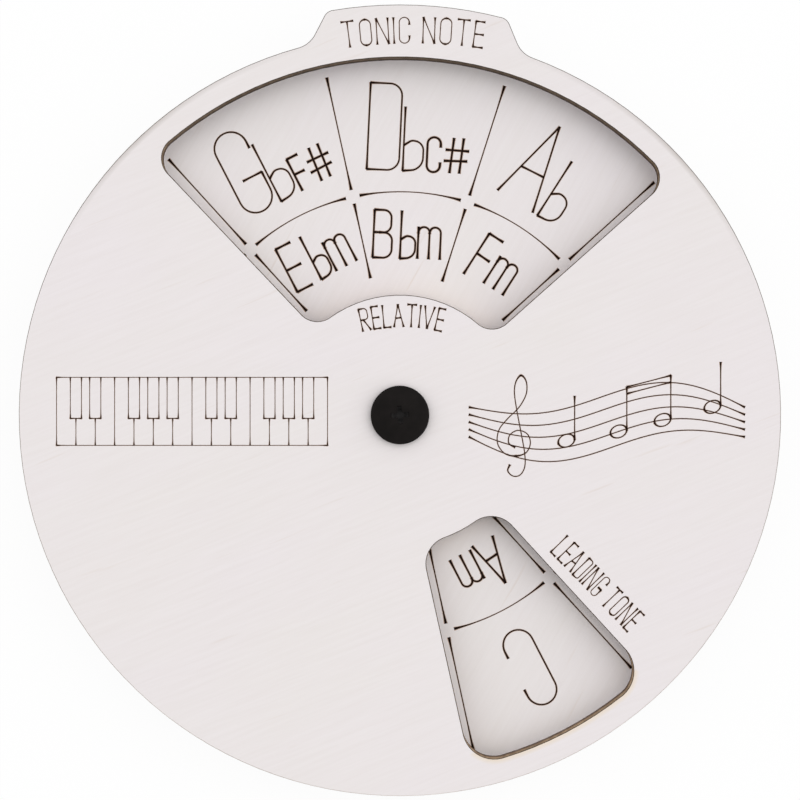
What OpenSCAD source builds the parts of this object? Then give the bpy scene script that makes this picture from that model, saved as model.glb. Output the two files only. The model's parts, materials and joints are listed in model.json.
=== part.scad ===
// Circle of fifths wheel.
// A windowed plywood plate turns over a dial of twelve keys on one two-part binding screw.
// The pivot is the Z axis with the rear head's flat face at Z = 0.
// The front looks along +Z and the finger tab points along +Y.

/* [Selector plate] */
// Diameter of the plate without its tab
plate_d = 130; // [116:1:160]
// Thickness of the plate's plywood
plate_t = 3; // [2:0.5:5]
// Width of wood between the windows and the plate's edge
rim_w = 4; // [3:0.5:8]

/* [Finger tab] */
// How far the tab stands out past the plate's edge
tab_reach = 5; // [4:0.5:9]
// Angle from the tab's middle to where its straight side would meet the plate's edge
tab_half_angle = 16.2; // [12:0.1:22]
// Lean of the tab's sides away from its middle line, in degrees
tab_lean = 25; // [15:1:32]
// Fillet at the tab's outer corners
tab_tip_fillet = 2; // [1:0.5:4]
// Fillet where the tab's sides run into the plate's edge
tab_root_fillet = 4.5; // [2:0.5:8]

/* [Key window] */
// Keys that the window shows side by side
key_window_keys = 3; // [1, 3, 5]
// Angle that each side adds past the outer keys' dividing lines
key_window_spread = 0.9; // [0:0.1:3]
// Distance that each side is set out from the line through the pivot
key_window_margin = 0.4; // [0:0.1:2]
// Radius of the edge nearest the pivot
key_window_inner_r = 20.5; // [15:0.5:26]
// Fillet at the outer corners
key_window_outer_fillet = 3.8; // [1:0.1:6]
// Fillet at the inner corners
key_window_inner_fillet = 3.7; // [1:0.1:5]

/* [Chord window] */
// Steps clockwise from the tab to the key that the window shows
chord_window_step = 5; // [4:1:8]
// Distance that each side is set out from its dividing line
chord_window_margin = 1.25; // [0:0.05:2]
// Radius of the edge nearest the pivot
chord_window_inner_r = 22.3; // [17:0.1:28]
// Fillet at the outer corners
chord_window_outer_fillet = 5.4; // [1:0.1:8]
// Fillet at the inner corners
chord_window_inner_fillet = 4.7; // [1:0.1:5]

/* [Key dial] */
// How far the dial's edge is set back behind the plate's edge
dial_setback = 0; // [0:0.1:3]
// Thickness of the dial's plywood
dial_t = 3; // [2:0.5:5]
// Radius of the scored ring between the two rows of names
ring_r = 38.5; // [32:0.5:45]
// Bare stretch on each side of a crossing
crossing_gap = 1.35; // [0.5:0.05:3]
// Distance from the dial's edge to the dividing lines
line_margin = 5.8; // [3:0.1:12]
// Radius where the dividing lines end near the pivot
line_inner_r = 24.3; // [18:0.1:28]
// Width of the scored lines
score_w = 0.4; // [0.2:0.05:1]
// Depth of the scored lines
score_depth = 0.3; // [0.1:0.05:0.8]

/* [Spacer washer] */
// Outside diameter of the washer between the discs
spacer_d = 12; // [9:0.5:20]
// Thickness of that washer
spacer_t = 0.5; // [0.3:0.1:1.5]

/* [Pivot post] */
// Outside diameter of the barrel
post_d = 5; // [4.5:0.1:6.5]
// Wall of the barrel
post_wall = 0.45; // [0.3:0.05:0.8]
// Solid stretch of the barrel between its bore and the rear head
post_floor = 0.6; // [0.2:0.1:1.5]
// Diameter of the rear head
post_head_d = 10; // [8:0.5:14]
// Thickness of the rear head
post_head_t = 1.2; // [0.8:0.1:2]
// Rounding of the rear head's edge
post_head_round = 0.5; // [0.1:0.05:0.7]

/* [Pivot screw] */
// Diameter of the head
screw_head_d = 10; // [8:0.5:14]
// Height of the head's straight edge
screw_head_edge = 0.9; // [0.5:0.1:1.5]
// Rise of the dome above that edge
screw_head_rise = 1.2; // [0.5:0.1:1.5]
// Rounding between the dome and the edge
screw_head_round = 0.5; // [0.1:0.05:0.7]
// Distance that the shank stops short of the bore's end
shank_short = 0.8; // [0.3:0.1:2]
// Width of the cross recess from tip to tip
recess_d = 3.4; // [3:0.1:5]
// Width of the cross's arms
recess_arm = 0.8; // [0.6:0.1:1.4]
// Width of the recess at its bottom
recess_tip_d = 1.6; // [1:0.1:2.4]
// Depth of the recess
recess_depth = 1; // [0.6:0.1:1.6]
// Angle at which the cross stands when the screw is tight
recess_turn = 8; // [0:1:89]

/* [Fits] */
// Room round the barrel in the discs and the washer, on the radius
running_clearance = 0.08; // [0.03:0.01:0.1]
// Room between the shank and the barrel's bore, on the radius
thread_clearance = 0.05; // [0.02:0.01:0.1]
// Free play at each of the two faces that the dial runs between
face_play = 0.05; // [0.03:0.01:0.2]

/* [Hidden] */
$fn = 96;

keys = 12;
key_angle = 360 / keys;

// Heights of the stack, from the rear head's face upwards
dial_z = post_head_t + face_play;
spacer_z = dial_z + dial_t + face_play;
plate_z = spacer_z + spacer_t;
front_z = plate_z + plate_t;

// How far a cutting shape runs past the face that it opens
cut_over = 1;
// How many times its corner's depth a corner patch reaches from its own centre
patch_reach = 1.4;
// How far a fillet's circle runs past the edges that it blends, so that they cross cleanly
blend_over = 0.01;

plate_r = plate_d / 2;
dial_r = plate_r - dial_setback;
tab_r = plate_r + tab_reach;
tab_angle = tab_half_angle + tab_lean;
window_outer_r = plate_r - rim_w;
pivot_bore_d = post_d + 2 * running_clearance;
post_bore_d = post_d - 2 * post_wall;
post_bore_z = post_head_t + post_floor;
shank_d = post_bore_d - 2 * thread_clearance;
shank_z = post_bore_z + shank_short;
screw_head_r = screw_head_d / 2;
screw_head_h = screw_head_edge + screw_head_rise;
dome_r = (pow(screw_head_r, 2) + pow(screw_head_rise, 2)) / (2 * screw_head_rise);

plate_wood = "#e9e4e2";
dial_wood = "#e4dcd9";
washer_nylon = "#efece4";
black_metal = "#211d1c";

// Corner between an arc about the origin and the line x = side, less the fillet's circle.
// arc_in and line_in are 1 where the circle lies inside the arc or inside the line, and -1 outside.
module corner_patch(arc_r, side, fillet, arc_in, line_in) {
    centre_r = arc_r - arc_in * fillet;
    centre_x = side - line_in * fillet;
    centre = [centre_x, sqrt(pow(centre_r, 2) - pow(centre_x, 2))];
    on_line = [side, centre.y];
    on_arc = centre * arc_r / centre_r;
    corner = [side, sqrt(pow(arc_r, 2) - pow(side, 2))];
    difference() {
        polygon([centre, for (p = [on_line, corner, on_arc]) centre + patch_reach * (p - centre)]);
        translate(centre) circle(fillet + blend_over);
    }
}

// Draws its children on both sides of the Y axis
module both_sides() {
    for (side = [0, 1]) mirror([side, 0]) children();
}

// Area between two lines that lean half_angle from +Y, each set out by margin, as far as reach
module sector(half_angle, margin, reach) {
    apex = [0, -margin / sin(half_angle)];
    edge = reach * [sin(half_angle), cos(half_angle)];
    polygon([
        apex,
        apex + edge,
        [edge.x, reach],
        [-edge.x, reach],
        apex + [-edge.x, edge.y],
    ]);
}

// Window along +Y with all four corners filleted
module window(half_angle, margin, inner_r, outer_fillet, inner_fillet) {
    difference() {
        intersection() {
            circle(window_outer_r);
            sector(half_angle, margin, 2 * window_outer_r);
        }
        circle(inner_r);
        both_sides() rotate(-half_angle) {
            corner_patch(window_outer_r, margin, outer_fillet, 1, 1);
            corner_patch(inner_r, margin, inner_fillet, -1, 1);
        }
    }
}

// Tab along +Y, wider at its root, with the root's fillets
module tab() {
    side = plate_r * sin(tab_angle);
    difference() {
        intersection() {
            circle(tab_r);
            mirror([0, 1]) translate([0, -side / sin(tab_lean)]) sector(tab_lean, 0, tab_r);
        }
        both_sides() rotate(tab_lean) corner_patch(tab_r, side, tab_tip_fillet, 1, 1);
    }
    both_sides() rotate(tab_lean) corner_patch(plate_r, side, tab_root_fillet, -1, -1);
}

module plate_outline() {
    difference() {
        union() {
            circle(plate_r);
            tab();
        }
        window(
            key_window_keys * key_angle / 2 + key_window_spread, key_window_margin,
            key_window_inner_r, key_window_outer_fillet, key_window_inner_fillet
        );
        rotate(-chord_window_step * key_angle) window(
            key_angle / 2, chord_window_margin,
            chord_window_inner_r, chord_window_outer_fillet, chord_window_inner_fillet
        );
        circle(d = pivot_bore_d);
    }
}

// Scored line along +Y between two radii
module dividing_line(from_r, to_r) {
    translate([-score_w / 2, from_r]) square([score_w, to_r - from_r]);
}

// Scored arc across one key, centred on +Y
module ring_arc() {
    gap_angle = asin(crossing_gap / ring_r);
    intersection() {
        difference() {
            circle(ring_r + score_w / 2);
            circle(ring_r - score_w / 2);
        }
        sector(key_angle / 2 - gap_angle, 0, 2 * ring_r);
    }
}

module scoring() {
    for (key = [0 : keys - 1]) rotate(-key * key_angle) {
        ring_arc();
        rotate(-key_angle / 2) {
            dividing_line(line_inner_r, ring_r - crossing_gap);
            dividing_line(ring_r + crossing_gap, dial_r - line_margin);
        }
    }
}

module cross_recess() {
    top_scale = (recess_depth + cut_over) / recess_depth;
    intersection() {
        cylinder(
            h = recess_depth + cut_over,
            d1 = recess_tip_d,
            d2 = recess_tip_d + (recess_d - recess_tip_d) * top_scale
        );
        for (turn = [0, 90]) rotate(turn) translate([-recess_d, -recess_arm / 2])
            cube([2 * recess_d, recess_arm, recess_depth + cut_over]);
    }
}

module selector_plate() {
    color(plate_wood) translate([0, 0, plate_z]) linear_extrude(plate_t) plate_outline();
}

module key_dial() {
    color(dial_wood) translate([0, 0, dial_z]) difference() {
        cylinder(h = dial_t, r = dial_r);
        translate([0, 0, -cut_over]) cylinder(h = dial_t + 2 * cut_over, d = pivot_bore_d);
        translate([0, 0, dial_t - score_depth]) linear_extrude(score_depth + cut_over) scoring();
    }
}

module spacer_washer() {
    color(washer_nylon) translate([0, 0, spacer_z]) difference() {
        cylinder(h = spacer_t, d = spacer_d);
        translate([0, 0, -cut_over]) cylinder(h = spacer_t + 2 * cut_over, d = pivot_bore_d);
    }
}

module pivot_post() {
    head_r = post_head_d / 2;
    color(black_metal) difference() {
        union() {
            rotate_extrude() {
                square([head_r - post_head_round, post_head_t]);
                translate([0, post_head_round]) square([head_r, post_head_t - post_head_round]);
                translate([head_r - post_head_round, post_head_round]) circle(post_head_round);
            }
            cylinder(h = front_z, d = post_d);
        }
        translate([0, 0, post_bore_z]) cylinder(h = front_z, d = post_bore_d);
    }
}

module screw_head() {
    rotate_extrude() difference() {
        intersection() {
            square([screw_head_r, screw_head_h]);
            translate([0, screw_head_h - dome_r]) circle(dome_r);
        }
        translate([0, screw_head_h - dome_r])
            corner_patch(dome_r, screw_head_r, screw_head_round, 1, 1);
    }
}

module pivot_screw() {
    color(black_metal) difference() {
        union() {
            translate([0, 0, shank_z]) cylinder(h = front_z - shank_z, d = shank_d);
            translate([0, 0, front_z]) screw_head();
        }
        translate([0, 0, front_z + screw_head_h - recess_depth]) rotate(recess_turn) cross_recess();
    }
}

selector_plate();
key_dial();
spacer_washer();
pivot_post();
pivot_screw();
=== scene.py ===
"""Looks of a circle of fifths wheel: two engraved plywood discs that turn on a black binding screw.

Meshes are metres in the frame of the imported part. The engraving is drawn in millimetres on a disc's
face, x to the right and y towards the finger tab, and angles run clockwise from the tab in degrees.
"""
import json
import math

import bmesh
import bpy
from mathutils import Matrix, Vector

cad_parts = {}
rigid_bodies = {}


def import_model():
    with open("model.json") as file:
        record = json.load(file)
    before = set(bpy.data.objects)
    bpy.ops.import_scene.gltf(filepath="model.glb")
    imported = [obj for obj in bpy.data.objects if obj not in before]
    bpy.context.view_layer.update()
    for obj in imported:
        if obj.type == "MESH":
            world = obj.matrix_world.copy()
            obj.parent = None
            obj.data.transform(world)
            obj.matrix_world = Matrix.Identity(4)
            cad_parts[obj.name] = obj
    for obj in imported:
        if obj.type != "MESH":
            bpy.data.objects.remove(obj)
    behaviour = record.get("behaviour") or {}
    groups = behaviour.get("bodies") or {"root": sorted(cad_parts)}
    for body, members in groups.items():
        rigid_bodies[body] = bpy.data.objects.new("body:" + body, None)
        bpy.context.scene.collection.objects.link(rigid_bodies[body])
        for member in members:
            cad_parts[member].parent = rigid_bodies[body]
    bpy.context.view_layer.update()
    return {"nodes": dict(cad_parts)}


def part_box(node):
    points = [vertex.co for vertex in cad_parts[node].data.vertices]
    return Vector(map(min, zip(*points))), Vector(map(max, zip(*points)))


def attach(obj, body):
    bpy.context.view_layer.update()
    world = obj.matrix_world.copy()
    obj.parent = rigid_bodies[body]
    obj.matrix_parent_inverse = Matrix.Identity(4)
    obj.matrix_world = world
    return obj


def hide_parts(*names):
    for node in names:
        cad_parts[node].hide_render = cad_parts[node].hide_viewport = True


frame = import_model()

MM = 0.001

# Points nearer than MERGE are one point, and edges shorter than SLIVER are cleared away
MERGE = 1e-7
SLIVER = 1e-6

# Levels of the discs and the top of the screw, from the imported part
plate_low, plate_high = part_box("selector_plate")
dial_low, dial_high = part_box("key_dial")
_, screw_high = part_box("pivot_screw")
PLATE_BACK = plate_low.z
PLATE_FACE = plate_high.z
DIAL_BACK = dial_low.z
DIAL_FACE = dial_high.z
SCREW_TOP = screw_high.z

# The dial is spun about the pivot from its bore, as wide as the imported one, to its rim
BORE_WIDTH = 5.16 * MM
DIAL_BORE = BORE_WIDTH / 2
DIAL_RIM = dial_high.x
DIAL_FACETS = 240

# The laser rounds the edges where faces meet at more than CUT_CORNER, and scorches grooves by their depth
CUT_CORNER = math.radians(60)
CUT_EDGE = 0.13 * MM
CUT_EDGE_STEPS = 3
SCORCH_DEPTH = 0.22 * MM

# Upward part of the normal above which a face is flat and below which it is a wall
FLAT_NORMAL = 0.999
STEEP_NORMAL = 0.5

# Faces nearer in angle than FLAT_ANGLE are joined, and edges of more than SHARP_ANGLE are shaded sharp
FLAT_ANGLE = math.radians(0.2)
SHARP_ANGLE = math.radians(25)

# Faces with more corners than this are split into triangles
MOST_CORNERS = 4

# Stains that the laser leaves on the plate's face: how far they reach in from the cut, tan along the low
# window's outer edge, which lies between two radii, and brown on the rim, most at one distance up the disc
STAIN_REACH = 0.9 * MM
SMOKE_TINT = (1.0, 0.92, 0.76)
SMOKED_EDGE = (59 * MM, 63 * MM)
SINGE_TINT = (0.70, 0.68, 0.65)
SINGED_RIM = 46 * MM
SINGED_RIM_REACH = 18 * MM

# Cut walls darken towards the tab: painted shade for the walls there that face away from the light, in part
# heavier scorch; the rim's edge is scorched more towards the tab. How far up the disc that begins and is
# full, on walls and rim
PAINTED_SHADE_WALL = (30 * MM, 50 * MM)
PAINTED_SHADE_WALL_TINT = (0.42, 0.42, 0.42)
HOT_RIM = (-62 * MM, 30 * MM)

# Materials of a disc by index: faces and grooves, cut walls, edges of windows and bore, edge of the rim
VENEER, WALL, WINDOW_EDGE, RIM_EDGE = range(4)

# The windows lie inside this radius; their walls grow paler the more they face away from the pivot: painted
# light, so that they throw more light on the dial beside them
WINDOW_REACH = 63 * MM
PAINTED_LIGHT_WALL = (0.66, 0.54, 0.42)
PAINTED_LIGHT_WALL_SHARE = 0.8
PAINTED_LIGHT_WALL_BEGINS = 0.5

# The screw's cross recess, painted paler: painted light that lifts the deep shade in it and stands for its
# glints
RECESS_RADIUS = 1.9 * MM
RECESS_RIM = 0.2 * MM
RECESS_PAINTED_LIGHT = (0.03, 0.028, 0.028)

# Half section of an engraved groove at weight 1, from its floor to above the face: (x, height)
GROOVE_HALF = ((0.13, -0.22), (0.20, -0.025), (0.50, 0.03), (0.50, 0.2))
STROKE_OVERRUN = 0.08
STROKE_SPACING = 0.9
STROKE_LEAST = 0.03
ARC_STEPS = 8

# Weight of a stroke in its middle and at its ends, where the laser dwells, and the length of the change
MAJOR_WEIGHT = (0.7, 1.02, 1.2)
SECOND_NAME_WEIGHT = (0.88, 1.1, 0.9)
MINOR_WEIGHT = (0.78, 1.12, 1.0)
LINE_WEIGHT = (0.51, 1.17, 1.8)
RING_WEIGHT = (0.44, 1.17, 1.9)
WORD_WEIGHT = (0.41, 0.88, 0.55)
KEYBOARD_WEIGHT = (0.34, 0.7, 0.6)
STAVE_WEIGHT = (0.48, 0.95, 0.75)

# Scale of the dial: twelve keys, each with a dividing line to its sides and a ring between its two names.
# As in the photograph, the scale is turned a little, and its lines and ring are shifted towards the tab
KEYS = 12
KEY_ANGLE = 360 / KEYS
DIAL_TURN = 0.25
RING_RADIUS = 38.24
CROSSING_GAP = 1.27
LINE_INNER = 23.95
LINE_OUTER = 59.23
LINES_SHIFT = Vector((0, 0.2))
MAJOR_HEIGHT = 14.92
SINGLE_MAJOR_HEIGHT = 13.87
MAJOR_FLAT_HEIGHT = 11.0
SECOND_NAME_HEIGHT = 6.0
MINOR_HEIGHT = 8.23
MINOR_HEIGHTS = {"#": 4.8, "m": 5.45}

# Layout of a major name by its number of letters: shift of its middle, gap between letters, baseline
MAJOR_LAYOUT = {1: (0.05, 0, 42.0), 2: (-1.0, 0.95, 41.7), 4: (1.0, 0.68, 42.05)}

# Lower left corners of the letters of a minor name by its number of letters; A starts further left
MINOR_PLACES = {2: ((-3.9, 26.4), (-0.15, 26.9)), 3: ((-6.0, 26.9), (-1.3, 26.9), (1.7, 27.05))}
A_MINOR_PLACES = ((-4.6, 25.85), (0.0, 26.25))

# Strokes of each letter in units of its height: (x, y) is a sharp corner, (x, y, radius) a rounded one
LETTERS = {
    "A": [[(0, 0), (0.21, 1)], [(0.21, 1), (0.48, 0)], [(0.08, 0.38), (0.37, 0.41)]],
    "B": [
        [(0, 0), (0, 1)],
        [(0, 1), (0.36, 1, 0.16), (0.36, 0.53, 0.16), (0, 0.53)],
        [(0.12, 0.53), (0.39, 0.53, 0.17), (0.39, 0, 0.18), (0, 0)],
    ],
    "C": [[(0.38, 0.72), (0.38, 1, 0.19), (0, 1, 0.19), (0, 0, 0.19), (0.38, 0, 0.19), (0.38, 0.28)]],
    "D": [[(0, 0), (0, 1)], [(0, 1), (0.37, 1, 0.14), (0.37, 0, 0.14), (0, 0)]],
    "E": [[(0.34, 1), (0, 1)], [(0, 1), (0, 0)], [(0, 0), (0.36, 0)], [(0, 0.5), (0.34, 0.5)]],
    "F": [[(0.34, 1), (0, 1)], [(0, 1), (0, 0)], [(0, 0.51), (0.32, 0.5)]],
    "G": [
        [(0.385, 0.72), (0.385, 1, 0.192), (0, 1, 0.192), (0, 0, 0.192), (0.385, 0, 0.192), (0.385, 0.41)],
        [(0.385, 0.41), (0.145, 0.41)],
    ],
    "I": [[(0, 0), (0, 1)]],
    "L": [[(0, 1), (0, 0)], [(0, 0), (0.36, 0)]],
    "N": [[(0, 0), (0, 1)], [(0, 1), (0.44, 0)], [(0.44, 0), (0.44, 1)]],
    "O": [
        [(0.21, 1), (0, 1, 0.21), (0, 0, 0.21), (0.21, 0)],
        [(0.21, 0), (0.42, 0, 0.21), (0.42, 1, 0.21), (0.21, 1)],
    ],
    "R": [[(0, 0), (0, 1)], [(0, 1), (0.4, 1, 0.17), (0.4, 0.5, 0.17), (0, 0.5)], [(0.14, 0.5), (0.42, 0)]],
    "T": [[(0, 1), (0.46, 1)], [(0.23, 1), (0.23, 0)]],
    "V": [[(0, 1), (0.25, 0)], [(0.25, 0), (0.5, 1)]],
    "b": [[(0, 1), (0, 0)], [(0, 0.4), (0.12, 0.48, 0.1), (0.31, 0.46, 0.15), (0.31, 0.03, 0.2), (0, 0)]],
    "#": [
        [(0.17, 0), (0.26, 1)],
        [(0.45, 0), (0.54, 1)],
        [(0, 0.34), (0.66, 0.35)],
        [(0.04, 0.66), (0.7, 0.64)],
    ],
    "m": [
        [(0, 1), (0, 0)],
        [(0, 0.8), (0, 1, 0.175), (0.355, 1, 0.175), (0.355, 0)],
        [(0.355, 0.8), (0.355, 1, 0.175), (0.71, 1, 0.175), (0.71, 0)],
    ],
    " ": [],
}

# Name of each major key, its second name and its relative minor, clockwise from the tab
KEY_NAMES = (
    ("Db", "C#", "Bbm"), ("Ab", "", "Fm"), ("Eb", "", "Cm"), ("Bb", "", "Gm"),
    ("F", "", "Dm"), ("C", "", "Am"), ("G", "", "Em"), ("D", "", "Bm"),
    ("A", "", "F#m"), ("E", "", "C#m"), ("B", "", "G#m"), ("Gb", "F#", "Ebm"),
)

# The wheel lies turned clockwise in the photograph; the words and ornaments on its plate lie level there
PHOTO_ROLL = 2.45

# Plain words beside the windows: unit of width and height of the letters, gap between them, radius of
# the arc they stand on, turn clockwise from level, and the middle of the word's foot
WORD_SPACE = 0.1
STRAIGHT = 2000
WORDS = (
    ("TONIC NOTE", (4.5, 4.4), 0.95, 83, 0, (-0.45, 63.45)),
    ("RELATIVE", (3.35, 3.8), 0.64, 28, 0, (-0.25, 15.05)),
    ("LEADING TONE", (2.95, 4.0), 0.6, STRAIGHT, 46.2, (33.53, -28.75)),
)

# Ornaments: a keyboard left of the pivot, and a stave with a clef and notes right of it
KEYBOARD_SPOT = (-35.2, -6.7)
WHITE_KEYS = 14
WHITE_KEY = (3.3, 11.6)
BLACK_KEY = (1.9, 7.0)
BLACK_KEY_AFTER = (1, 2, 4, 5, 6)
OCTAVE = 7
STAVE_SPOT = (35.3, 0.3)
STAVE_HALF_LENGTH = 23.5
STAVE_LINES = 5
STAVE_SPACING = 2.3
STAVE_WAVE = 2.6
STAVE_CLOSING = 0.45
STAVE_STEPS = 48
CLEF_AT = -15.5
CLEF_HEIGHT = 17.5
CLEF_ON_LINE = -1
CLEF_DROP = 0.3
CLEF_LINE = (
    (-0.01, 0.29), (-0.07, 0.33), (-0.06, 0.41), (0.02, 0.455), (0.11, 0.42), (0.14, 0.33), (0.1, 0.24),
    (0, 0.205), (-0.11, 0.23), (-0.18, 0.33), (-0.165, 0.46), (-0.08, 0.57), (0.03, 0.68), (0.1, 0.81),
    (0.1, 0.93), (0.05, 0.99), (0, 0.93), (-0.015, 0.82), (0.01, 0.64), (0.05, 0.43), (0.085, 0.23),
    (0.085, 0.1), (0.04, 0.02), (-0.03, 0.01), (-0.08, 0.06), (-0.06, 0.12),
)
CLEF_BREAKS = (0, 7, 15, len(CLEF_LINE) - 1)
FLOW_STEPS = 6
NOTE_HEAD = (1.45, 1.05)
NOTE_TILT = 22
NOTE_STEM = 7.6
NOTE_STEPS = 20
SINGLE_NOTES = ((-6.9, -0.5), (18.0, 0.5))
BEAMED_NOTES = ((2.0, -1.0), (9.5, -1.0))


def rotated(point, degrees):
    """A point turned clockwise about the origin."""
    return Matrix.Rotation(-math.radians(degrees), 2) @ Vector(point)


def polar(radius, degrees):
    """The point at a radius from the pivot, clockwise from the tab."""
    return rotated((0, radius), degrees)


def round_corner(before, corner, after, radius):
    """Points of the arc that rounds off one corner of a stroke."""
    back = (before - corner).normalized()
    ahead = (after - corner).normalized()
    half = back.angle(ahead) / 2
    reach = radius / math.tan(half)
    centre = corner + (back + ahead).normalized() * radius / math.sin(half)
    start = corner + back * reach - centre
    turn = -start.angle_signed(corner + ahead * reach - centre)
    return [centre + Matrix.Rotation(turn * k / ARC_STEPS, 2) @ start for k in range(ARC_STEPS + 1)]


def runs_of(corners):
    """Splits a stroke at its sharp corners into smooth runs of points."""
    points = [Vector(c[:2]) for c in corners]
    radii = [c[2] if len(c) > 2 else 0 for c in corners]
    runs = [[points[0]]]
    for before, corner, after, radius in zip(points, points[1:], points[2:], radii[1:]):
        if radius:
            runs[-1] += round_corner(before, corner, after, radius)
        else:
            runs[-1].append(corner)
            runs.append([corner])
    runs[-1].append(points[-1])
    return runs


def flowing(points):
    """A smooth run through given points."""
    knots = [Vector(p) for p in points]
    knots = [2 * knots[0] - knots[1]] + knots + [2 * knots[-1] - knots[-2]]
    run = []
    for a, b, c, d in zip(knots, knots[1:], knots[2:], knots[3:]):
        for k in range(FLOW_STEPS):
            t = k / FLOW_STEPS
            bend = (a * 2 - b * 5 + c * 4 - d) * t**2 + (b * 3 - a - c * 3 + d) * t**3
            run.append(b + ((c - a) * t + bend) / 2)
    return run + [knots[-2]]


def without_doubles(run):
    """A run without the points that lie on their neighbour."""
    kept = [run[0]]
    for point in run[1:-1]:
        if min((point - kept[-1]).length, (point - run[-1]).length) > STROKE_LEAST:
            kept.append(point)
    return kept + [run[-1]]


def spaced(run):
    """Adds points along the long stretches of a run and carries its ends a little over."""
    run = without_doubles(run)
    points = [run[0] + (run[0] - run[1]).normalized() * STROKE_OVERRUN]
    tail = run[-1] + (run[-1] - run[-2]).normalized() * STROKE_OVERRUN
    for b in run[1:-1] + [tail]:
        a = points[-1]
        parts = max(1, math.ceil((b - a).length / STROKE_SPACING))
        points += [a.lerp(b, k / parts) for k in range(1, parts + 1)]
    return points


def letter_width(letter, across):
    """Width of a letter drawn with this unit of width."""
    return across * max((corner[0] for stroke in LETTERS[letter] for corner in stroke), default=WORD_SPACE)


def letter_runs(letter, across, height, place):
    """Runs of a letter of this height; place puts a point of the letter on the disc."""
    runs = []
    for stroke in LETTERS[letter]:
        corners = []
        for x, y, *radius in stroke:
            corners.append((*place(x * across, y * height), *(r * across for r in radius)))
        runs += runs_of(corners)
    return runs


def row_width(letters, gap):
    """Width of a row of (letter, unit of width) pairs."""
    return sum(letter_width(*pair) + gap for pair in letters) - gap


def major_runs(name, second_name, angle):
    """Weighted runs of a major key's names in its sector, with the tops of their letters outwards."""
    heights = (MAJOR_HEIGHT, MAJOR_FLAT_HEIGHT) if len(name) > 1 else (SINGLE_MAJOR_HEIGHT,)
    letters = list(zip(name, heights)) + [(letter, SECOND_NAME_HEIGHT) for letter in second_name]
    shift, gap, baseline = MAJOR_LAYOUT[len(letters)]
    x = shift - row_width(letters, gap) / 2
    weighted = []
    for letter, height in letters:
        weight = SECOND_NAME_WEIGHT if height == SECOND_NAME_HEIGHT else MAJOR_WEIGHT
        runs = letter_runs(letter, height, height, lambda u, v, x=x: rotated((x + u, baseline + v), angle))
        weighted += [(run, weight) for run in runs]
        x += letter_width(letter, height) + gap
    return weighted


def minor_runs(name, angle):
    """Weighted runs of a minor key's name in its sector, with the tops of its letters outwards."""
    places = A_MINOR_PLACES if name[0] == "A" else MINOR_PLACES[len(name)]
    weighted = []
    for letter, (x, y) in zip(name, places):
        height = MINOR_HEIGHTS.get(letter, MINOR_HEIGHT)
        runs = letter_runs(letter, height, height, lambda u, v, x=x, y=y: rotated((x + u, y + v), angle))
        weighted += [(run, MINOR_WEIGHT) for run in runs]
    return weighted


def word_runs(word, size, gap, bend):
    """Runs of a word on an arc of radius bend, with the middle of its foot at the origin."""
    across, height = size
    at = -row_width([(letter, across) for letter in word], gap) / 2
    top = Vector((0, bend))
    runs = []
    for letter in word:
        width = letter_width(letter, across)
        angle = math.degrees((at + width / 2) / (bend + height / 2))
        foot = Vector((-width / 2, bend))

        def on_arc(u, v, foot=foot, angle=angle):
            return rotated(foot + Vector((u, v)), angle) - top

        runs += letter_runs(letter, across, height, on_arc)
        at += width + gap
    return runs


def dial_scale():
    """Weighted runs of the dial: dividing lines, ring arcs and the names of the keys."""
    lines = []
    arcs = []
    names = []
    sweep = KEY_ANGLE - 2 * math.degrees(CROSSING_GAP / RING_RADIUS)
    for key, (major, second, minor) in enumerate(KEY_NAMES):
        angle = key * KEY_ANGLE + DIAL_TURN
        edge = angle + KEY_ANGLE / 2
        lines.append([polar(RING_RADIUS + CROSSING_GAP, edge), polar(LINE_OUTER, edge)])
        lines.append([polar(LINE_INNER, edge), polar(RING_RADIUS - CROSSING_GAP, edge)])
        arc_start = angle - sweep / 2
        turns = [arc_start + sweep * k / ARC_STEPS / 2 for k in range(2 * ARC_STEPS + 1)]
        arcs.append([polar(RING_RADIUS, turn) for turn in turns])
        names += major_runs(major, second, angle) + minor_runs(minor, angle)
    ruled = [(run, LINE_WEIGHT) for run in lines] + [(run, RING_WEIGHT) for run in arcs]
    return [([point + LINES_SHIFT for point in run], weight) for run, weight in ruled] + names


def keyboard_runs():
    """Runs of a two-octave keyboard, with the middle of its front edge at the origin."""
    width, length = WHITE_KEY
    start, end = -width * WHITE_KEYS / 2, width * WHITE_KEYS / 2
    strokes = [[(start, 0), (end, 0), (end, length), (start, length), (start, 0)]]
    half, drop = BLACK_KEY[0] / 2, length - BLACK_KEY[1]
    for key in range(1, WHITE_KEYS):
        x = start + key * width
        if key % OCTAVE in BLACK_KEY_AFTER:
            strokes.append([(x, 0), (x, drop)])
            strokes.append([(x - half, length), (x - half, drop), (x + half, drop), (x + half, length)])
        else:
            strokes.append([(x, 0), (x, length)])
    return [run for stroke in strokes for run in runs_of(stroke)]


def stave_height(x, line):
    """Height of a stave line at x: the five lines flow in one wave and close up towards their ends."""
    spread = STAVE_SPACING * (1 - STAVE_CLOSING * (x / STAVE_HALF_LENGTH) ** 2)
    return STAVE_WAVE * math.sin(math.pi * x / STAVE_HALF_LENGTH) + line * spread


def note_runs(x, line, stem_top):
    """Runs of a note: an oval head on its stave line and a stem up to a height."""
    head = []
    for k in range(NOTE_STEPS + 1):
        a = 2 * math.pi * k / NOTE_STEPS
        oval = (NOTE_HEAD[0] * math.cos(a), NOTE_HEAD[1] * math.sin(a))
        head.append(Vector((x, stave_height(x, line))) + rotated(oval, -NOTE_TILT))
    half = NOTE_STEPS // 2
    foot = max(head, key=lambda p: p.x)
    return [head[: half + 1], head[half:], [foot, Vector((foot.x, stem_top))]]


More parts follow.
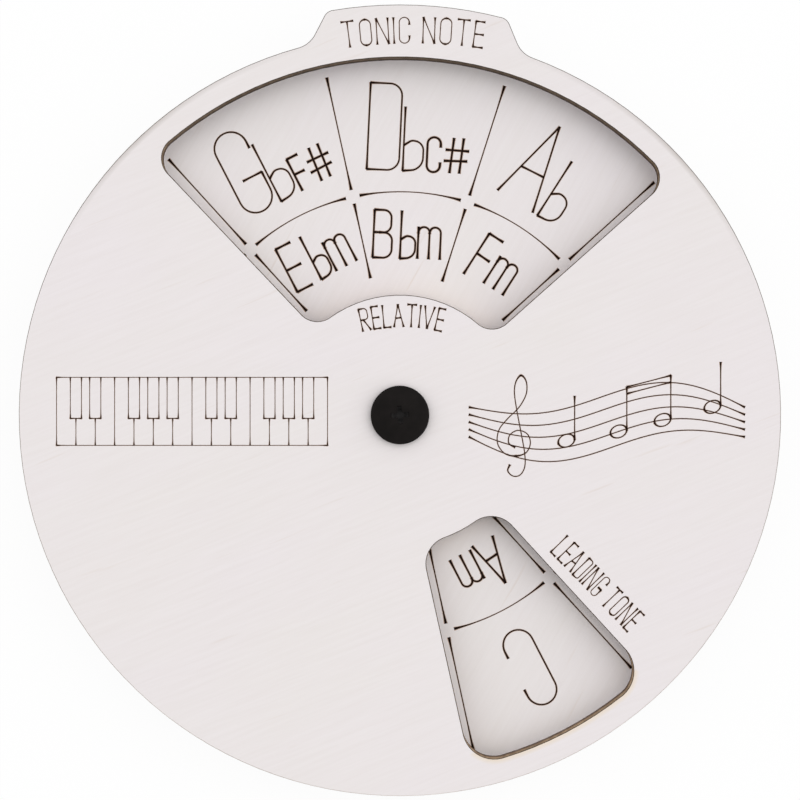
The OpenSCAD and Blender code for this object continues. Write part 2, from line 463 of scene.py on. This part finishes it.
def stave_runs():
    """Runs of a flowing stave with a treble clef and a few notes, centred on the origin."""
    runs = []
    for line in range(STAVE_LINES):
        level = line - (STAVE_LINES - 1) / 2
        xs = [STAVE_HALF_LENGTH * (2 * k / STAVE_STEPS - 1) for k in range(STAVE_STEPS + 1)]
        runs.append([Vector((x, stave_height(x, level))) for x in xs])
    foot = stave_height(CLEF_AT, CLEF_ON_LINE) - CLEF_DROP * CLEF_HEIGHT
    clef = flowing([(CLEF_AT + x * CLEF_HEIGHT, foot + y * CLEF_HEIGHT) for x, y in CLEF_LINE])
    runs += [clef[a * FLOW_STEPS : b * FLOW_STEPS + 1] for a, b in zip(CLEF_BREAKS, CLEF_BREAKS[1:])]
    for x, line in SINGLE_NOTES:
        runs += note_runs(x, line, stave_height(x, line) + NOTE_STEM)
    tops = [stave_height(x, line) + NOTE_STEM for x, line in BEAMED_NOTES]
    for (x, line), top in zip(BEAMED_NOTES, tops):
        runs += note_runs(x, line, top)
    reach = NOTE_HEAD[0]
    for drop in (0, STAVE_SPACING / 2):
        runs.append([Vector((x + reach, top - drop)) for (x, _), top in zip(BEAMED_NOTES, tops)])
    return runs


def placed(runs, spot, turn=0):
    """Runs set on a spot of the plate, turned clockwise from level in the photograph."""
    return [[rotated(point, turn - PHOTO_ROLL) + Vector(spot) for point in run] for run in runs]


def plate_engraving():
    """Weighted runs of the plate: words beside its windows and two ornaments."""
    weighted = []
    for word, size, gap, bend, turn, spot in WORDS:
        weighted += [(run, WORD_WEIGHT) for run in placed(word_runs(word, size, gap, bend), spot, turn)]
    weighted += [(run, KEYBOARD_WEIGHT) for run in placed(keyboard_runs(), KEYBOARD_SPOT)]
    weighted += [(run, STAVE_WEIGHT) for run in placed(stave_runs(), STAVE_SPOT)]
    return weighted


def new_object(name, mesh):
    """A new object in the scene that holds a mesh."""
    piece = bpy.data.objects.new(name, mesh)
    bpy.context.scene.collection.objects.link(piece)
    return piece


def evaluated_mesh(source):
    """Plain mesh of an object with its curve bevel or modifiers applied."""
    bpy.context.view_layer.update()
    return bpy.data.meshes.new_from_object(source.evaluated_get(bpy.context.evaluated_depsgraph_get()))


def groove_section():
    """Closed curve with the section of a groove, which every stroke is swept with."""
    curve = bpy.data.curves.new("groove_section", "CURVE")
    curve.dimensions = "2D"
    section = [(-x, y) for x, y in reversed(GROOVE_HALF)] + list(GROOVE_HALF)
    spline = curve.splines.new("POLY")
    spline.points.add(len(section) - 1)
    spline.use_cyclic_u = True
    for point, (x, y) in zip(spline.points, section):
        point.co = (x * MM, y * MM, 0, 1)
    return new_object("groove_section", curve)


def stroke_weights(run, weight):
    """Weight of a stroke at each of its points."""
    middle, end, change = weight
    lengths = [0]
    for a, b in zip(run, run[1:]):
        lengths.append(lengths[-1] + (b - a).length)
    return [middle + (end - middle) * math.exp(-min(s, lengths[-1] - s) / change) for s in lengths]


def groove_mesh(run, weight, face, section):
    """Closed mesh of one engraved stroke, ready to be cut out of a face."""
    curve = bpy.data.curves.new("stroke", "CURVE")
    curve.dimensions = "3D"
    curve.twist_mode = "Z_UP"
    curve.bevel_mode = "OBJECT"
    curve.bevel_object = section
    curve.use_fill_caps = True
    points = spaced(run)
    spline = curve.splines.new("POLY")
    spline.points.add(len(points) - 1)
    for knot, point, radius in zip(spline.points, points, stroke_weights(points, weight)):
        knot.co = (point.x * MM, point.y * MM, face, 1)
        knot.radius = radius
    stroke = new_object("stroke", curve)
    mesh = evaluated_mesh(stroke)
    bpy.data.objects.remove(stroke)
    shape = bmesh.new()
    shape.from_mesh(mesh)
    bmesh.ops.remove_doubles(shape, verts=shape.verts, dist=MERGE)
    bmesh.ops.recalc_face_normals(shape, faces=shape.faces)
    shape.to_mesh(mesh)
    shape.free()
    return mesh


def engrave(blank, face, weighted_runs, veneer):
    """Cuts every stroke into a face of the blank."""
    section = groove_section()
    grooves = bpy.data.collections.new("grooves")
    bpy.context.scene.collection.children.link(grooves)
    for run, weight in weighted_runs:
        mesh = groove_mesh(run, weight, face, section)
        mesh.materials.append(veneer)
        grooves.objects.link(bpy.data.objects.new("groove", mesh))
    laser = blank.modifiers.new("laser", "BOOLEAN")
    laser.operand_type = "COLLECTION"
    laser.collection = grooves
    laser.operation = "DIFFERENCE"
    laser.solver = "MANIFOLD"
    engraved = evaluated_mesh(blank)
    blank.modifiers.clear()
    blank.data = engraved
    for groove in list(grooves.objects):
        bpy.data.objects.remove(groove)
    bpy.data.collections.remove(grooves)
    bpy.data.objects.remove(section)


def split_large_faces(shape):
    """Splits the faces with many corners into triangles."""
    large = [face for face in shape.faces if len(face.verts) > MOST_CORNERS]
    bmesh.ops.triangulate(shape, faces=large)


def shade(mesh):
    """Clears slivers, smooths the curved walls and keeps the flat faces flat up to their edges."""
    shape = bmesh.new()
    shape.from_mesh(mesh)
    split_large_faces(shape)
    bmesh.ops.dissolve_degenerate(shape, dist=SLIVER, edges=shape.edges)
    for face in shape.faces:
        face.smooth = True
    for edge in shape.edges:
        flats = sum(abs(face.normal.z) > FLAT_NORMAL for face in edge.link_faces)
        edge.smooth = flats != 1 and edge.calc_face_angle(0) < SHARP_ANGLE
    shape.to_mesh(mesh)
    shape.free()


def rounded_cut_edges(shape):
    """Rounds the sharp edges between the flat faces and the cut walls."""
    sharp = [edge for edge in shape.edges if edge.calc_face_angle(0) > CUT_CORNER]
    bmesh.ops.bevel(
        shape, geom=sharp, offset=CUT_EDGE, affect="EDGES", segments=CUT_EDGE_STEPS, profile=0.5, material=-1
    )


def give_cut_materials(shape, back, front):
    """Cut walls and rounded edges take their materials, and the windows' walls their painted light: paler
    where they face away from the pivot, to light the dial beside them.
    """
    painted_light_share = shape.verts.layers.float.new("painted_light_share")
    for face in shape.faces:
        middle = face.calc_center_median()
        in_window = middle.xy.length < WINDOW_REACH
        between_edges = back + CUT_EDGE / 2 < middle.z < front - CUT_EDGE / 2
        if abs(face.normal.z) < STEEP_NORMAL and between_edges:
            face.material_index = WALL
            # Painted light: walls facing away from the pivot are made paler to light the dial beside them
            facing = face.normal.xy.normalized().dot(middle.xy.normalized())
            share = max(0, (facing - PAINTED_LIGHT_WALL_BEGINS) / (1 - PAINTED_LIGHT_WALL_BEGINS)) ** 2
            for vert in face.verts:
                vert[painted_light_share] = PAINTED_LIGHT_WALL_SHARE * share * in_window
        elif abs(face.normal.z) < FLAT_NORMAL:
            face.material_index = WINDOW_EDGE if in_window else RIM_EDGE


def stain_edges(shape, level):
    """Rings each cut edge of the face at this level; smoke and singe values run out across the rings."""
    smoke = shape.verts.layers.float.new("smoke")
    singe = shape.verts.layers.float.new("singe")
    upward = [face for face in shape.faces if face.normal.z > FLAT_NORMAL]
    front = [face for face in upward if face.calc_center_median().z > level - MERGE]
    ring = bmesh.ops.inset_region(
        shape, faces=front, thickness=STAIN_REACH, use_even_offset=True, use_boundary=True
    )["faces"]
    ring_points = {vert for face in ring for vert in face.verts}
    cut_edge = ring_points - {vert for face in front for vert in face.verts}
    nearest, farthest = SMOKED_EDGE
    for vert in cut_edge:
        radius = vert.co.xy.length
        if radius > farthest:
            vert[singe] = max(0, 1 - abs(vert.co.y - SINGED_RIM) / SINGED_RIM_REACH)
        elif vert.co.y < 0 and radius > nearest:
            vert[smoke] = 1.0


def node(tree, kind, inputs=None, **settings):
    """Adds a shader node; each input is a plain value or another node's output."""
    made = tree.nodes.new("ShaderNode" + kind)
    for key, value in settings.items():
        setattr(made, key, value)
    for key, value in (inputs or {}).items():
        if isinstance(value, bpy.types.NodeSocket):
            tree.links.new(value, made.inputs[key])
        else:
            made.inputs[key].default_value = value
    return made


def ramp(tree, factor, stops):
    """Colour ramp over (position, colour) stops."""
    made = node(tree, "ValToRGB", {"Fac": factor})
    elements = made.color_ramp.elements
    while len(elements) < len(stops):
        elements.new(1)
    for element, (position, colour) in zip(elements, stops):
        element.position = position
        element.color = (*colour, 1)
    return made.outputs["Color"]


# Sockets of a mix node that hold its two colours and their mix
MIX_COLOURS = (6, 7)
MIX_RESULT = 2


def blended(tree, factor, first, second, mode="MIX"):
    """Colour mixed from two colours."""
    made = node(tree, "Mix", {"Factor": factor}, data_type="RGBA", blend_type=mode)
    for socket, value in zip(MIX_COLOURS, (first, second)):
        if isinstance(value, bpy.types.NodeSocket):
            tree.links.new(value, made.inputs[socket])
        else:
            made.inputs[socket].default_value = (*value, 1)
    return made.outputs[MIX_RESULT]


def new_material(name, **shader_inputs):
    """Node material with a Principled shader: returns it with its tree and shader."""
    material = bpy.data.materials.new(name)
    material.use_nodes = True
    shader = material.node_tree.nodes["Principled BSDF"]
    for key, value in shader_inputs.items():
        shader.inputs[key.replace("_", " ")].default_value = value
    return material, material.node_tree, shader


def point_on_piece(tree):
    """Where a point lies on its piece."""
    return node(tree, "TexCoord").outputs["Object"]


def coordinate(tree, axis):
    """One coordinate of a point on its piece."""
    return node(tree, "SeparateXYZ", {"Vector": point_on_piece(tree)}).outputs[axis]


def mesh_value(tree, name):
    """A value that a piece's mesh holds at its points."""
    return node(tree, "Attribute", attribute_name=name).outputs["Fac"]


def graded(tree, value, begins, full, low=0.0, high=1.0):
    """Runs from low, where a value begins, to high, where it is full."""
    inputs = {"Value": value, "From Min": begins, "From Max": full, "To Min": low, "To Max": high}
    return node(tree, "MapRange", inputs).outputs["Result"]


def relief(tree, shader, height, strength, distance):
    """Gives a surface fine relief from a noise."""
    bump = node(tree, "Bump", {"Height": height, "Strength": strength, "Distance": distance})
    tree.links.new(bump.outputs["Normal"], shader.inputs["Normal"])


def stretched_noise(tree, degrees, scale, detail, roughness=0.5):
    """Noise drawn out along a direction; scale is per metre along it, across it and in depth."""
    turn = (0, 0, -math.radians(degrees))
    turned = node(tree, "Mapping", {"Vector": point_on_piece(tree), "Rotation": turn})
    drawn = node(tree, "Mapping", {"Vector": turned.outputs["Vector"], "Scale": scale})
    inputs = {"Vector": drawn.outputs["Vector"], "Scale": 1, "Detail": detail, "Roughness": roughness}
    return node(tree, "TexNoise", inputs).outputs["Fac"]


def height_above(tree, low, high):
    """0 at the level low, 1 at the level high."""
    return graded(tree, coordinate(tree, "Z"), low, high)


def depth_inside(tree, back, front, depth):
    """0 on both faces of a disc, 1 at a depth below the nearer one."""
    under_front = height_above(tree, front, front - depth)
    over_back = height_above(tree, back, back + depth)
    return node(tree, "Math", {0: under_front, 1: over_back}, operation="MINIMUM").outputs[0]


def towards_tab(tree, begins, full):
    """0 low on the disc, 1 towards the tab."""
    return graded(tree, coordinate(tree, "Y"), begins, full)


# Veneer: direction of the grain on each disc, scale of its clouds, fibres and flecks, and their colours
PLATE_GRAIN = 24
DIAL_GRAIN = 63
CLOUD_SCALE = (22, 60, 60)
FIBRE_SCALE = (90, 1700, 400)
FIBRE_ROUGHNESS = 0.6
FIBRE_RELIEF = (0.12, 0.03 * MM)
FLECK_SCALE = (55, 900, 300)
FLECK_RANGE = (0.70, 0.82)
FLECK_SHARE = 0.25
FLECK_COLOUR = (0.62, 0.49, 0.38)
WOOD_COLOURS = ((0.3, (0.837, 0.796, 0.787)), (0.7, (0.842, 0.794, 0.804)))
FIBRE_TINTS = ((0.3, (0.975, 0.97, 0.965)), (0.65, (1, 1, 1)))

# Scorch in a groove by its share of the scorch depth, and the shares where it begins and hides the wood
SCORCH_COLOURS = (
    (0.0, (0.69, 0.57, 0.49)),
    (0.1, (0.42, 0.28, 0.205)),
    (0.3, (0.115, 0.058, 0.038)),
    (0.6, (0.037, 0.0175, 0.012)),
    (1.0, (0.011, 0.0055, 0.004)),
)
SCORCH_RANGE = (0.005, 0.06)


def veneer_material(name, back, front, grain):
    """Pale sanded veneer, scorched in its grooves by their depth and stained by smoke and singe."""
    material, tree, shader = new_material(name, Roughness=0.62, Specular_IOR_Level=0.05)
    clouds = stretched_noise(tree, grain, CLOUD_SCALE, detail=2)
    fibres = stretched_noise(tree, grain, FIBRE_SCALE, detail=4, roughness=FIBRE_ROUGHNESS)
    flecks = stretched_noise(tree, grain, FLECK_SCALE, detail=2)
    wood = ramp(tree, clouds, WOOD_COLOURS)
    wood = blended(tree, 1.0, wood, ramp(tree, fibres, FIBRE_TINTS), "MULTIPLY")
    fleck_amount = graded(tree, flecks, *FLECK_RANGE, high=FLECK_SHARE)
    wood = blended(tree, fleck_amount, wood, FLECK_COLOUR)
    depth = depth_inside(tree, back, front, SCORCH_DEPTH)
    scorch = ramp(tree, depth, SCORCH_COLOURS)
    colour = blended(tree, graded(tree, depth, *SCORCH_RANGE), wood, scorch)
    colour = blended(tree, mesh_value(tree, "smoke"), colour, SMOKE_TINT, "MULTIPLY")
    colour = blended(tree, mesh_value(tree, "singe"), colour, SINGE_TINT, "MULTIPLY")
    tree.links.new(colour, shader.inputs["Base Color"])
    relief(tree, shader, fibres, *FIBRE_RELIEF)
    return material


# Cut walls: plies from the front to the back, streaks down the cut and scorched patches
DARK_PLY = (0.10, 0.062, 0.04)
BROWN_PLY = (0.21, 0.137, 0.086)
PALE_PLY = (0.44, 0.32, 0.205)
PLIES = (
    (0.0, BROWN_PLY), (0.06, PALE_PLY), (0.31, PALE_PLY), (0.33, DARK_PLY), (0.36, PALE_PLY),
    (0.6, BROWN_PLY), (0.65, DARK_PLY), (0.68, BROWN_PLY), (0.85, DARK_PLY), (1.0, DARK_PLY),
)
STREAK_SCALE = (900, 900, 60)
STREAK_TINTS = ((0.35, (0.62, 0.58, 0.55)), (0.65, (1, 1, 1)))
STREAK_RELIEF = (0.3, 0.08 * MM)
PATCH_SCALE = (70, 70, 200)
PATCH_RANGE = (0.4, 0.75)
PATCH_SHARE = 0.4


def burnt_wall_material(name, back, front):
    """Laser-cut plywood edge: charred plies with darker glue lines and streaks down the cut, painted shade
    towards the tab and painted light on windows' walls facing away from the pivot.
    """
    material, tree, shader = new_material(name, Roughness=0.75, Specular_IOR_Level=0.2)
    streaks = stretched_noise(tree, 0, STREAK_SCALE, detail=3)
    patches = stretched_noise(tree, 0, PATCH_SCALE, detail=2)
    layers = ramp(tree, height_above(tree, front, back), PLIES)
    colour = blended(tree, 1.0, layers, ramp(tree, streaks, STREAK_TINTS), "MULTIPLY")
    scorched = graded(tree, patches, *PATCH_RANGE, high=PATCH_SHARE)
    colour = blended(tree, scorched, colour, DARK_PLY)
    # Painted shade: walls darker towards the tab, where they face away from the light
    colour = blended(tree, towards_tab(tree, *PAINTED_SHADE_WALL), colour, PAINTED_SHADE_WALL_TINT, "MULTIPLY")
    # Painted light: paler walls that throw more light on the dial beside them
    colour = blended(tree, mesh_value(tree, "painted_light_share"), colour, PAINTED_LIGHT_WALL)
    tree.links.new(colour, shader.inputs["Base Color"])
    relief(tree, shader, streaks, *STREAK_RELIEF)
    return material


# Rounded edges: scale of their patches and the colours, along the windows and round the rim
CHAR_SCALE = (300, 300, 300)
CHAR_COLOURS = ((0.3, (0.03, 0.021, 0.016)), (0.7, (0.07, 0.05, 0.036)))
SINGE_SCALE = (60, 60, 60)
SINGE_COLOURS = ((0.35, (0.58, 0.52, 0.48)), (0.65, (0.72, 0.66, 0.62)))
HOT_RIM_COLOUR = (0.14, 0.12, 0.105)


def charred_edge_material():
    """Dark rounded edge along the windows and round the bore of a disc."""
    material, tree, shader = new_material("charred_edge", Roughness=0.75, Specular_IOR_Level=0.2)
    patches = stretched_noise(tree, 0, CHAR_SCALE, detail=3)
    tree.links.new(ramp(tree, patches, CHAR_COLOURS), shader.inputs["Base Color"])
    return material


def singed_edge_material():
    """Brown rounded edge round the rim of a disc, darker towards the tab."""
    material, tree, shader = new_material("singed_edge", Roughness=0.7, Specular_IOR_Level=0.2)
    patches = stretched_noise(tree, 0, SINGE_SCALE, detail=3)
    colour = ramp(tree, patches, SINGE_COLOURS)
    colour = blended(tree, towards_tab(tree, *HOT_RIM), colour, HOT_RIM_COLOUR)
    tree.links.new(colour, shader.inputs["Base Color"])
    return material


# Black coating: scale of its texture and wear, colours, range of its roughness and its relief
PEEL_SCALE = (2600, 2600, 2600)
PEEL_RELIEF = (0.15, 0.04 * MM)
WEAR_SCALE = (500, 500, 500)
COATING_COLOURS = ((0.35, (0.007, 0.0058, 0.0054)), (0.75, (0.011, 0.009, 0.0085)))
COATING_ROUGHNESS = (0.42, 0.6)


def inside_recess(tree):
    """1 deep in the screw's cross recess, 0 on the rest of its head."""
    flat = node(tree, "VectorMath", {0: point_on_piece(tree), 1: (1, 1, 0)}, operation="MULTIPLY")
    radius = node(tree, "VectorMath", {0: flat.outputs["Vector"]}, operation="LENGTH").outputs["Value"]
    near_axis = node(tree, "Math", {0: radius, 1: RECESS_RADIUS}, operation="LESS_THAN").outputs[0]
    deep = height_above(tree, SCREW_TOP - RECESS_RIM, SCREW_TOP - 2 * RECESS_RIM)
    return node(tree, "Math", {0: near_axis, 1: deep}, operation="MULTIPLY").outputs[0]


def coated_metal_material(name, has_recess=False):
    """Dull black coating with a fine orange-peel texture, painted paler in the recess of the screw's head:
    painted light against the shade there.
    """
    material, tree, shader = new_material(name, Specular_IOR_Level=0.07)
    peel = stretched_noise(tree, 0, PEEL_SCALE, detail=2)
    wear = stretched_noise(tree, 0, WEAR_SCALE, detail=3)
    colour = ramp(tree, wear, COATING_COLOURS)
    if has_recess:
        # Painted light: the recess is paler to lift the shade deep in it
        colour = blended(tree, inside_recess(tree), colour, RECESS_PAINTED_LIGHT)
    tree.links.new(colour, shader.inputs["Base Color"])
    tree.links.new(graded(tree, wear, 0, 1, *COATING_ROUGHNESS), shader.inputs["Roughness"])
    relief(tree, shader, peel, *PEEL_RELIEF)
    return material


# Nylon: scale of its clouds and their colours
NYLON_SCALE = (700, 700, 700)
NYLON_COLOURS = ((0.3, (0.70, 0.68, 0.62)), (0.7, (0.78, 0.76, 0.70)))


def nylon_material():
    """Milky nylon washer with faint moulding clouds."""
    material, tree, shader = new_material(
        "milky_nylon", Roughness=0.4, Subsurface_Weight=0.1, Subsurface_Scale=0.0005
    )
    clouds = stretched_noise(tree, 0, NYLON_SCALE, detail=2)
    tree.links.new(ramp(tree, clouds, NYLON_COLOURS), shader.inputs["Base Color"])
    return material


def engraved_disc(word, shape, back, front, grain, cut_edges, weighted_runs):
    """Makes the finished object of the plate or the dial from its blank, and engraves its front."""
    mesh = bpy.data.meshes.new("engraved_" + word)
    shape.to_mesh(mesh)
    shape.free()
    veneer = veneer_material(word + "_veneer", back, front, grain)
    wall = burnt_wall_material(word + "_burnt_wall", back, front)
    for material in (veneer, wall, *cut_edges):
        mesh.materials.append(material)
    disc = new_object("engraved_" + word, mesh)
    engrave(disc, front, weighted_runs, veneer)
    shade(disc.data)
    return disc


def selector_plate(cut_edges):
    """The front plate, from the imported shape, with rounded scorched edges and its engraving."""
    shape = bmesh.new()
    shape.from_mesh(frame["nodes"]["selector_plate"].data)
    bmesh.ops.remove_doubles(shape, verts=shape.verts, dist=MERGE)
    bmesh.ops.dissolve_limit(shape, angle_limit=FLAT_ANGLE, verts=shape.verts, edges=shape.edges)
    for face in shape.faces:
        face.material_index = VENEER
    rounded_cut_edges(shape)
    give_cut_materials(shape, PLATE_BACK, PLATE_FACE)
    stain_edges(shape, PLATE_FACE)
    split_large_faces(shape)
    plate = engraved_disc("plate", shape, PLATE_BACK, PLATE_FACE, PLATE_GRAIN, cut_edges, plate_engraving())
    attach(plate, "plate")
    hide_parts("selector_plate")


def key_dial(cut_edges):
    """The rear disc, turned round the pivot, with the scale of the twelve keys engraved in its face."""
    shape = bmesh.new()
    section = (
        (DIAL_BORE, DIAL_BACK), (DIAL_RIM, DIAL_BACK), (DIAL_RIM, DIAL_FACE), (DIAL_BORE, DIAL_FACE)
    )
    corners = [shape.verts.new((radius, 0, height)) for radius, height in section]
    outline = [shape.edges.new((a, b)) for a, b in zip(corners, corners[1:] + corners[:1])]
    bmesh.ops.spin(
        shape, geom=corners + outline, axis=(0, 0, 1), angle=2 * math.pi, steps=DIAL_FACETS, use_merge=True
    )
    bmesh.ops.remove_doubles(shape, verts=shape.verts, dist=MERGE)
    bmesh.ops.recalc_face_normals(shape, faces=shape.faces)
    rounded_cut_edges(shape)
    give_cut_materials(shape, DIAL_BACK, DIAL_FACE)
    dial = engraved_disc("dial", shape, DIAL_BACK, DIAL_FACE, DIAL_GRAIN, cut_edges, dial_scale())
    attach(dial, "dial")
    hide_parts("key_dial")


def pivot_hardware():
    """The binding post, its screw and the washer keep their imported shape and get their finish."""
    finishes = {
        "pivot_screw": coated_metal_material("screw_coating", has_recess=True),
        "pivot_post": coated_metal_material("post_coating"),
        "spacer_washer": nylon_material(),
    }
    for name, material in finishes.items():
        piece = frame["nodes"][name]
        for slot in piece.material_slots:
            slot.material = material


# Camera straight over the wheel, as the photograph was taken
CAMERA_OFFSET = (-0.1 * MM, 2.55 * MM)
CAMERA_RISE = 330 * MM
VIEW_WIDTH = 136.4 * MM
SENSOR = 36.0
NEAREST_SEEN = 10 * MM


def camera():
    """Looks straight down on the plate, rolled so that the tab leans to the right."""
    data = bpy.data.cameras.new("camera")
    data.sensor_width = SENSOR
    data.lens = SENSOR * CAMERA_RISE / VIEW_WIDTH
    data.clip_start = NEAREST_SEEN
    eye = bpy.data.objects.new("camera", data)
    eye.location = (*CAMERA_OFFSET, PLATE_FACE + CAMERA_RISE)
    eye.rotation_euler = (0, 0, math.radians(PHOTO_ROLL))
    bpy.context.scene.collection.objects.link(eye)
    bpy.context.scene.camera = eye


# Dome of soft light, brighter from the top right of the picture and from both sides
DOME_BASE = 0.61
DOME_LEAN = (0.353, 0.52, 0)
DOME_SIDES = 1.537

# Sheet of white paper under the wheel, and how much of its own white shows in place of its shading
FLOOR_RADIUS = 3.0
FLOOR_FACETS = 64
FLOOR_GAP = 0.02 * MM
FLOOR_WHITE = 0.94
PAPER_COLOUR = (0.97, 0.97, 0.97, 1)
PLAIN_WHITE = (1, 1, 1, 1)


def seen_directly(tree):
    """1 for rays that show the background, straight or in a reflection, 0 for light that it sheds."""
    rays = node(tree, "LightPath").outputs
    seen = node(tree, "Math", {0: rays["Is Camera Ray"], 1: rays["Is Glossy Ray"]}, operation="MAXIMUM")
    seen = node(tree, "Math", {0: seen.outputs[0], 1: rays["Is Transmission Ray"]}, operation="MAXIMUM")
    return seen.outputs[0]


def soft_dome():
    """Soft light from all round the wheel, which looks plain white where it is seen."""
    world = bpy.data.worlds.new("soft_dome")
    bpy.context.scene.world = world
    world.use_nodes = True
    tree = world.node_tree
    towards = node(tree, "TexCoord").outputs["Generated"]
    lean = node(tree, "VectorMath", {0: towards, 1: DOME_LEAN}, operation="DOT_PRODUCT").outputs["Value"]
    across = node(tree, "SeparateXYZ", {"Vector": towards}).outputs["X"]
    sides = node(tree, "Math", {0: across, 1: across}, operation="MULTIPLY").outputs[0]
    rise = node(tree, "Math", {0: sides, 1: DOME_SIDES, 2: DOME_BASE}, operation="MULTIPLY_ADD")
    light = node(tree, "Math", {0: rise.outputs[0], 1: lean}, operation="ADD").outputs[0]
    strength = node(tree, "Mix", {"Factor": seen_directly(tree), "A": light, "B": 1.0}, data_type="FLOAT")
    background = tree.nodes["Background"]
    background.inputs["Color"].default_value = PLAIN_WHITE
    tree.links.new(strength.outputs[0], background.inputs["Strength"])


def paper_floor():
    """White paper that the wheel lies on."""
    shape = bmesh.new()
    below = Matrix.Translation((0, 0, -FLOOR_GAP))
    bmesh.ops.create_circle(shape, cap_ends=True, segments=FLOOR_FACETS, radius=FLOOR_RADIUS, matrix=below)
    mesh = bpy.data.meshes.new("floor")
    shape.to_mesh(mesh)
    shape.free()
    floor = new_object("floor", mesh)
    paper = bpy.data.materials.new("white_paper")
    paper.use_nodes = True
    tree = paper.node_tree
    tree.nodes.clear()
    matt = node(tree, "BsdfDiffuse", {"Color": PAPER_COLOUR})
    glow = node(tree, "Emission", {"Color": PLAIN_WHITE, "Strength": 1.0})
    share = node(tree, "Math", {0: seen_directly(tree), 1: FLOOR_WHITE}, operation="MULTIPLY")
    both = node(tree, "MixShader", {0: share.outputs[0], 1: matt.outputs[0], 2: glow.outputs[0]})
    node(tree, "OutputMaterial", {"Surface": both.outputs[0]})
    mesh.materials.append(paper)


camera()
cut_edges = charred_edge_material(), singed_edge_material()
selector_plate(cut_edges)
key_dial(cut_edges)
pivot_hardware()
soft_dome()
paper_floor()
bpy.context.scene.view_settings.view_transform = "Standard"
